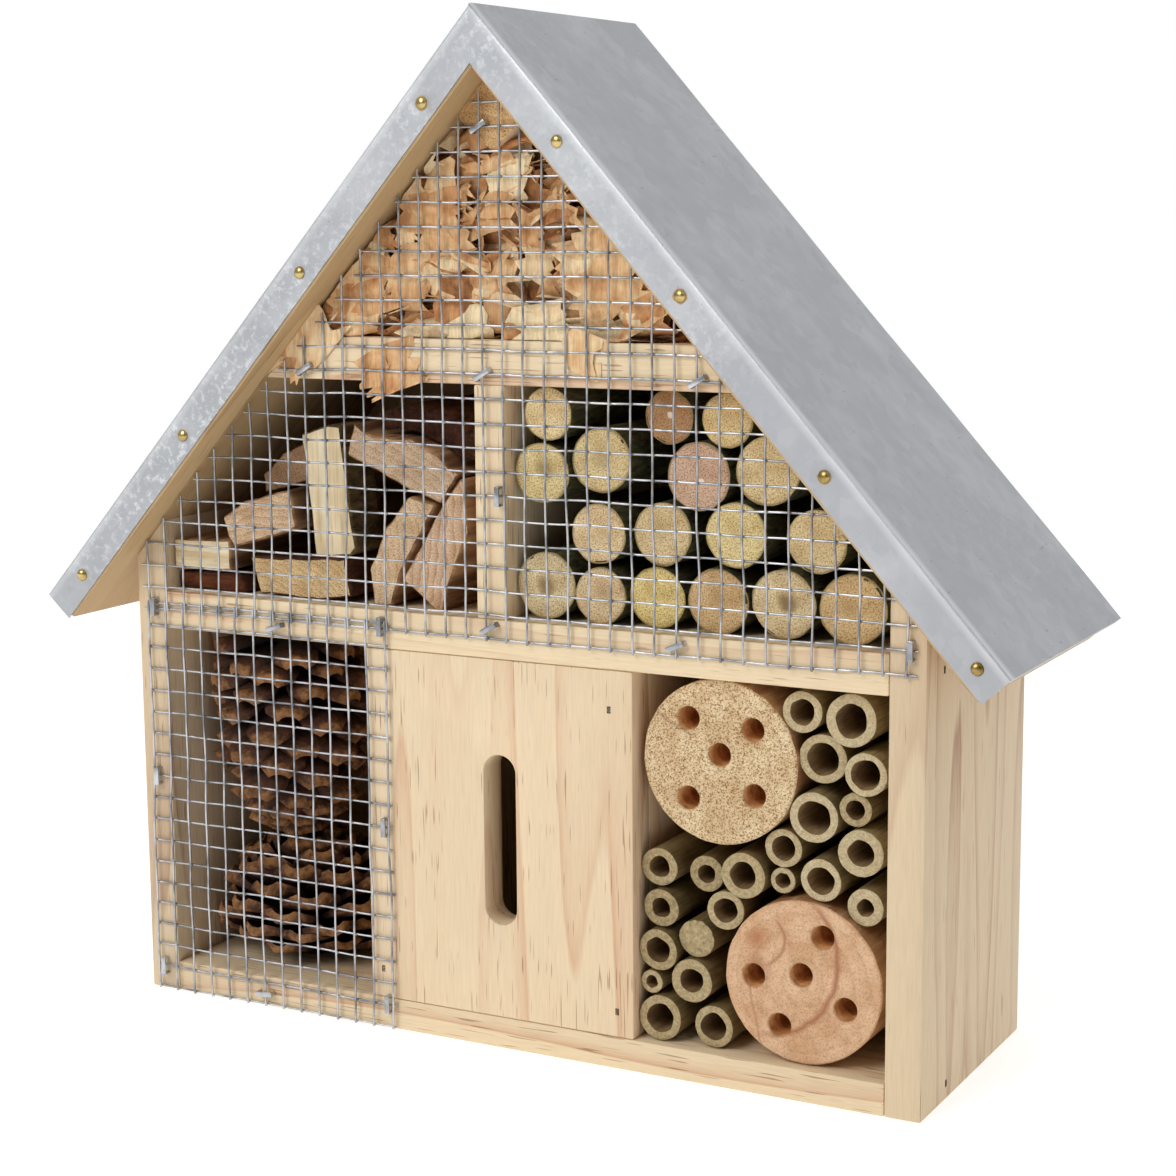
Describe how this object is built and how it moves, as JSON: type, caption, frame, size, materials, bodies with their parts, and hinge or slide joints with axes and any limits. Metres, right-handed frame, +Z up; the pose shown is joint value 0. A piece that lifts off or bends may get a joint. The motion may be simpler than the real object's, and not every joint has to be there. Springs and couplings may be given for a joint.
{
  "type": "insect hotel",
  "caption": "Pitched-roof wooden insect hotel with mesh-fronted bays of cones, kindling, branches and shavings, a slotted chamber and a bay of drilled logs and cane under a sheet-metal roof.",
  "frame": {"origin": "the middle of the base, on the surface that the house stands on", "axes": "+X to the right seen from the front, +Y towards the back, +Z up"},
  "size_m": [0.2954, 0.0954, 0.2838],
  "materials": {
    "pine": "planed, unfinished",
    "plywood": "unfinished",
    "galvanised_sheet": "galvanised, dull, lightly scuffed",
    "welded_wire": "galvanised",
    "bright_steel": "zinc plated",
    "dark_steel": "dark, dull",
    "brass": "polished",
    "wood_shavings": "raw",
    "split_wood": "sawn, raw",
    "bark": "raw",
    "pine_cone": "raw",
    "branch_wood": "sawn, raw",
    "log_wood": "sawn, raw",
    "cane": "raw"
  },
  "bodies": {
    "root": {"left_side_wall": "pine", "right_side_wall": "pine", "bottom_board": "pine", "middle_shelf": "pine", "upper_shelf": "pine", "upper_divider": "pine", "lower_left_divider": "pine", "lower_right_divider": "pine", "slotted_panel": "pine", "back_panel": "plywood", "ridge_strip": "pine", "left_roof_board": "pine", "right_roof_board": "pine", "roof_sheet": "galvanised_sheet", "roof_nails": "brass", "brads": "dark_steel", "upper_mesh": "welded_wire", "lower_mesh": "welded_wire", "mesh_staples": "bright_steel", "hanging_plate": "bright_steel", "hanging_screws": "bright_steel", "wood_shavings": "wood_shavings", "kindling_plank": "split_wood", "kindling_bark_strip": "bark", "kindling_block": "split_wood", "kindling_upright": "split_wood", "kindling_arch": "split_wood", "kindling_left_slab": "split_wood", "kindling_right_slab": "split_wood", "kindling_bottom": "split_wood", "kindling_rear": "split_wood", "kindling_bark_slab": "bark", "pine_cone_bottom": "pine_cone", "pine_cone_top": "pine_cone", "branch_sections": "branch_wood", "drilled_log_upper": "log_wood", "drilled_log_lower": "log_wood", "tube_1": "cane", "tube_2": "cane", "tube_3": "cane", "tube_4": "cane", "tube_5": "cane", "tube_6": "cane", "tube_7": "cane", "tube_8": "cane", "tube_9": "cane", "tube_10": "cane", "tube_11": "cane", "tube_12": "cane", "tube_13": "cane", "tube_14": "cane", "tube_15": "cane", "tube_16": "cane", "tube_17": "cane", "tube_18": "cane", "tube_19": "cane", "tube_20": "cane", "tube_21": "cane", "tube_22": "cane"}
  },
  "joints": []
}
